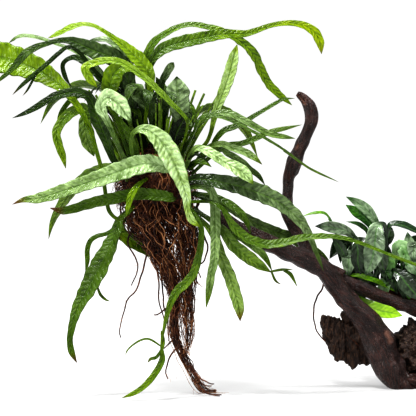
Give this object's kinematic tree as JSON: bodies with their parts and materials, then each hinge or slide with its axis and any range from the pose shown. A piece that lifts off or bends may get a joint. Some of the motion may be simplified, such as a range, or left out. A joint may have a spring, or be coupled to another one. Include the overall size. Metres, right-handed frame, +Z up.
{
  "type": "java fern on driftwood",
  "caption": "Java fern with long strap leaves and hanging roots on a branching piece of wet driftwood, with a small broad-leaved plant behind the wood.",
  "frame": {"origin": "middle of the flat foot of the driftwood limb, on the surface it stands on", "axes": "+Z up, +X along the length of the piece from the fern to the driftwood, +Y away from the side it is mostly seen from"},
  "size_m": [0.5575, 0.1707, 0.3755],
  "materials": {
    "fern_leaf": "gloss",
    "broad_leaf": "gloss",
    "wet_wood": "satin",
    "rough_bark": "matte",
    "root": "satin"
  },
  "bodies": {
    "root": {"driftwood_limb": "wet_wood", "driftwood_hook_branch": "wet_wood", "driftwood_rear_limb": "wet_wood", "driftwood_runner": "wet_wood", "driftwood_rough_heart": "rough_bark", "bark_slab_left": "rough_bark", "bark_slab_right": "rough_bark", "fern_rhizome_ball": "root", "fern_roots_left": "root", "fern_roots_right": "root", "fern_root_strand": "root", "broad_plant_stem": "root", "fern_leaf_left_big": "fern_leaf", "fern_leaf_left_arch": "fern_leaf", "fern_leaf_left_long": "fern_leaf", "fern_leaf_left_narrow": "fern_leaf", "fern_leaf_top_left": "fern_leaf", "fern_leaf_left_blistered": "fern_leaf", "fern_leaf_left_curl": "fern_leaf", "fern_leaf_front_arch": "fern_leaf", "fern_leaf_centre_bright": "fern_leaf", "fern_leaf_left_glossy": "fern_leaf", "fern_leaf_centre_droop": "fern_leaf", "fern_leaf_left_hanging": "fern_leaf", "fern_leaf_left_veined": "fern_leaf", "fern_leaf_front_pale": "fern_leaf", "fern_leaf_low_left_upper": "fern_leaf", "fern_leaf_low_left_lower": "fern_leaf", "fern_leaf_low_small": "fern_leaf", "fern_leaf_hanging_left": "fern_leaf", "fern_leaf_behind_roots": "fern_leaf", "fern_leaf_over_roots": "fern_leaf", "fern_leaf_top_right_far": "fern_leaf", "fern_leaf_top_right_near": "fern_leaf", "fern_leaf_blistered": "fern_leaf", "fern_leaf_right_long": "fern_leaf", "fern_leaf_right_pale_upper": "fern_leaf", "fern_leaf_right_upright": "fern_leaf", "fern_leaf_right_far": "fern_leaf", "fern_leaf_right_pale_middle": "fern_leaf", "fern_leaf_right_folded": "fern_leaf", "fern_leaf_right_big": "fern_leaf", "fern_leaf_right_reaching": "fern_leaf", "fern_leaf_right_behind": "fern_leaf", "fern_leaf_right_olive": "fern_leaf", "fern_leaf_right_low": "fern_leaf", "fern_leaf_hanging_right": "fern_leaf", "fern_leaf_hanging_front": "fern_leaf", "plantlet_low": "fern_leaf", "broad_leaf_top_pale": "broad_leaf", "broad_leaf_top_green": "broad_leaf", "broad_leaf_right_dark": "broad_leaf", "broad_leaf_front_big": "broad_leaf", "broad_leaf_front_dark": "broad_leaf", "broad_leaf_left_grey": "broad_leaf", "broad_leaf_left_bent": "broad_leaf", "broad_leaf_glossy_oval": "broad_leaf", "broad_leaf_right_upright": "broad_leaf", "broad_leaf_between_limbs": "broad_leaf"}
  },
  "joints": []
}
